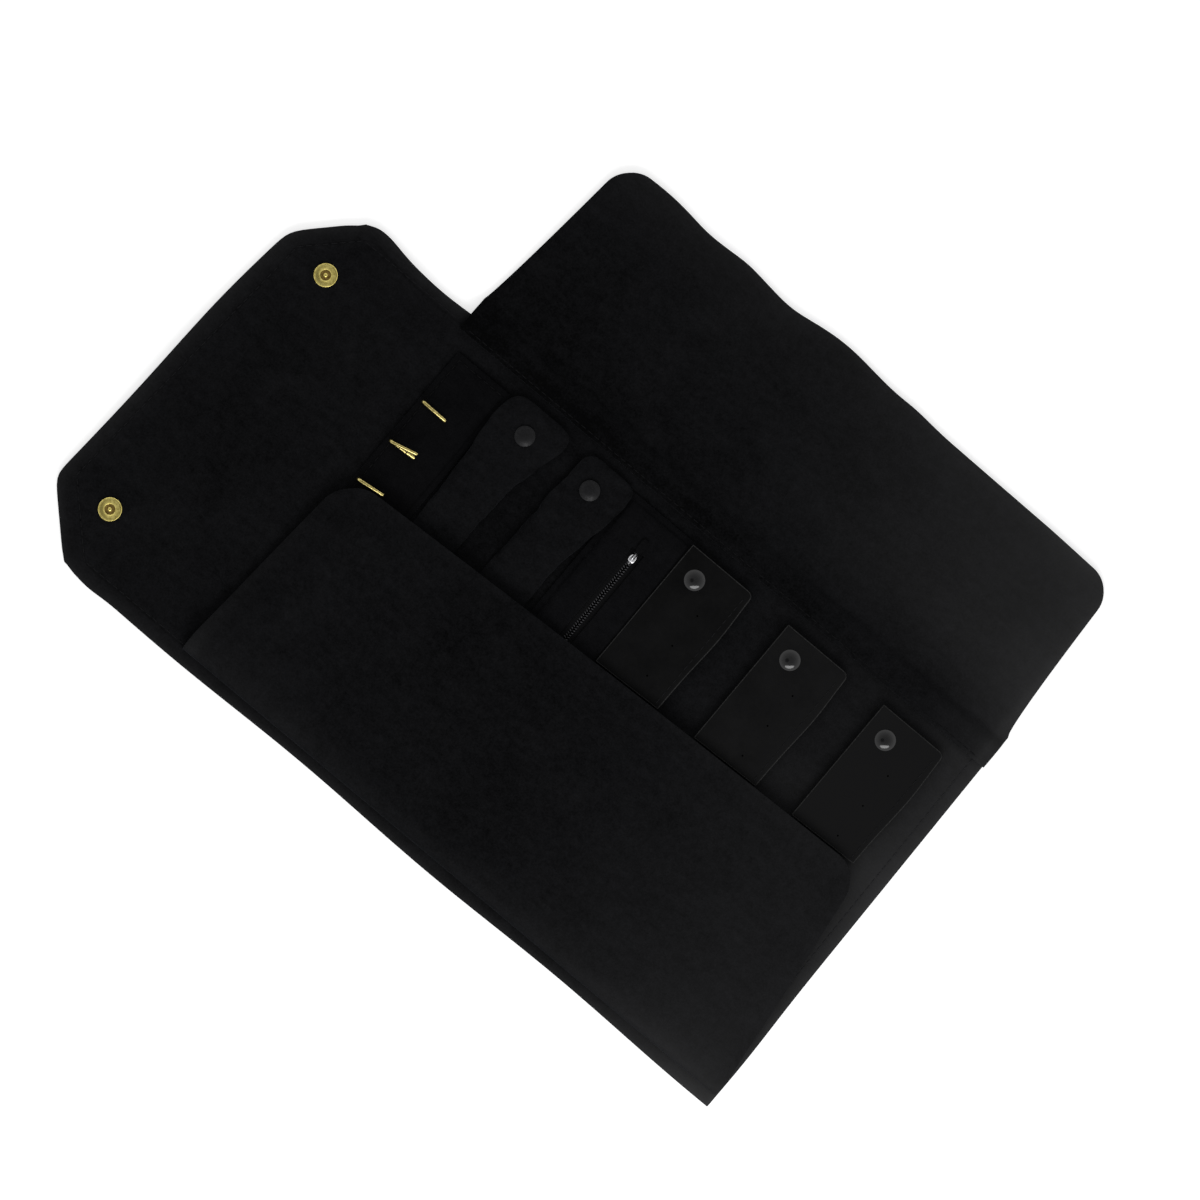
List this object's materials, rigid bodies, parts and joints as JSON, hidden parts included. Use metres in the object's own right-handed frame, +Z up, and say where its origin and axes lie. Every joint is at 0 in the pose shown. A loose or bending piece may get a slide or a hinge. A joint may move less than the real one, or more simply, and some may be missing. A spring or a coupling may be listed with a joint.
{
  "type": "jewelry pouch",
  "caption": "Opened suede jewelry roll: a panel with hooks, ring bars, a zip pocket and leather leaves with snaps, two long flaps that fold in over it and a closing flap.",
  "frame": {"origin": "bottom centre of the opened roll's bounding box, on the surface it lies on", "axes": "+X along the roll from the closing flap to the plain end, +Y from the front flap to the back flap, +Z up"},
  "size_m": [0.4388, 0.3278, 0.0109],
  "materials": {
    "suede_shell": "matte napped suede",
    "suede_lining": "matte napped suede",
    "suede_flap": "matte napped suede",
    "suede_pad": "matte napped suede",
    "leather_leaf": "smooth satin leather",
    "brass": "polished",
    "black_metal": "gloss black",
    "dark_metal": "satin gunmetal",
    "nickel": "polished nickel",
    "dark_pull": "satin black",
    "zip_tape": "woven",
    "zip_coil": "satin"
  },
  "bodies": {
    "panel": {"shell_panel": "suede_shell", "closing_fold": "suede_shell", "lining_panel": "suede_lining", "front_fold": "suede_flap", "back_fold": "suede_flap", "hook_panel": "suede_pad", "ring_bar_1_tail": "suede_pad", "ring_bar_2_tail": "suede_pad", "zip_panel": "suede_pad", "zip_panel_rim": "suede_pad", "leaf_1_hem": "leather_leaf", "leaf_2_hem": "leather_leaf", "leaf_3_hem": "leather_leaf", "hook_1": "brass", "hook_2": "brass", "hook_3": "brass", "closing_stud_1": "brass", "closing_stud_2": "brass", "ring_bar_1_stud": "dark_metal", "ring_bar_2_stud": "dark_metal", "leaf_1_stud": "dark_metal", "leaf_2_stud": "dark_metal", "leaf_3_stud": "dark_metal", "zip_top_stop": "nickel", "zip_bottom_stop": "nickel", "zip_tape_left": "zip_tape", "zip_tape_right": "zip_tape", "zip_coil_left": "zip_coil", "zip_coil_right": "zip_coil"},
    "closing_flap": {"closing_flap_shell": "suede_shell", "closing_flap_lining": "suede_lining", "closing_socket_1": "brass", "closing_socket_2": "brass", "closing_cap_1": "black_metal", "closing_cap_2": "black_metal"},
    "front_flap": {"front_flap_outer": "suede_flap", "front_flap_lining": "suede_flap"},
    "back_flap": {"back_flap_outer": "suede_flap", "back_flap_lining": "suede_flap"},
    "slider": {"zip_slider": "nickel", "zip_bridge": "nickel"},
    "pull": {"zip_pull": "dark_pull"},
    "ring_bar_1": {"ring_bar_1": "suede_pad", "ring_bar_1_cap": "black_metal", "ring_bar_1_socket": "dark_metal"},
    "ring_bar_2": {"ring_bar_2": "suede_pad", "ring_bar_2_cap": "black_metal", "ring_bar_2_socket": "dark_metal"},
    "leaf_1": {"leaf_1": "leather_leaf", "leaf_1_cap": "black_metal", "leaf_1_socket": "dark_metal"},
    "leaf_2": {"leaf_2": "leather_leaf", "leaf_2_cap": "black_metal", "leaf_2_socket": "dark_metal"},
    "leaf_3": {"leaf_3": "leather_leaf", "leaf_3_cap": "black_metal", "leaf_3_socket": "dark_metal"}
  },
  "joints": [
    {"name": "closing_flap_fold", "type": "hinge", "parent": "panel", "child": "closing_flap", "pos_m": [-0.12472, -0.05239, 0.0101], "axis": [0, -1, 0], "range_deg": [-180, 0], "deforming": ["closing_fold"]},
    {"name": "front_flap_fold", "type": "hinge", "parent": "panel", "child": "front_flap", "pos_m": [0.0513, -0.15639, 0.0056], "axis": [1, 0, 0], "range_deg": [0, 180], "deforming": ["front_fold"]},
    {"name": "back_flap_fold", "type": "hinge", "parent": "panel", "child": "back_flap", "pos_m": [0.0513, 0.05161, 0.0074], "axis": [-1, 0, 0], "range_deg": [-180, 0], "deforming": ["back_fold"]},
    {"name": "ring_bar_1_lift", "type": "hinge", "parent": "panel", "child": "ring_bar_1", "pos_m": [-0.05727, -0.03236, 0.0046], "axis": [1, 0, 0], "range_deg": [0, 90]},
    {"name": "ring_bar_2_lift", "type": "hinge", "parent": "panel", "child": "ring_bar_2", "pos_m": [-0.01597, -0.03037, 0.0046], "axis": [1, 0, 0], "range_deg": [0, 90]},
    {"name": "leaf_1_turn", "type": "hinge", "parent": "panel", "child": "leaf_1", "pos_m": [0.07183, 0.005, 0.007], "axis": [0, 1, 0], "range_deg": [0, 150]},
    {"name": "leaf_2_turn", "type": "hinge", "parent": "panel", "child": "leaf_2", "pos_m": [0.13253, 0.005, 0.007], "axis": [0, 1, 0], "range_deg": [0, 150]},
    {"name": "leaf_3_turn", "type": "hinge", "parent": "panel", "child": "leaf_3", "pos_m": [0.19323, 0.005, 0.007], "axis": [0, 1, 0], "range_deg": [0, 150]},
    {"name": "zip_run", "type": "slide", "parent": "panel", "child": "slider", "axis": [0, 1, 0], "range_m": [-0.1365, 0]},
    {"name": "zip_pull_turn", "type": "hinge", "parent": "slider", "child": "pull", "pos_m": [0.02128, 0.01761, 0.0073], "axis": [1, 0, 0], "range_deg": [0, 170]}
  ]
}
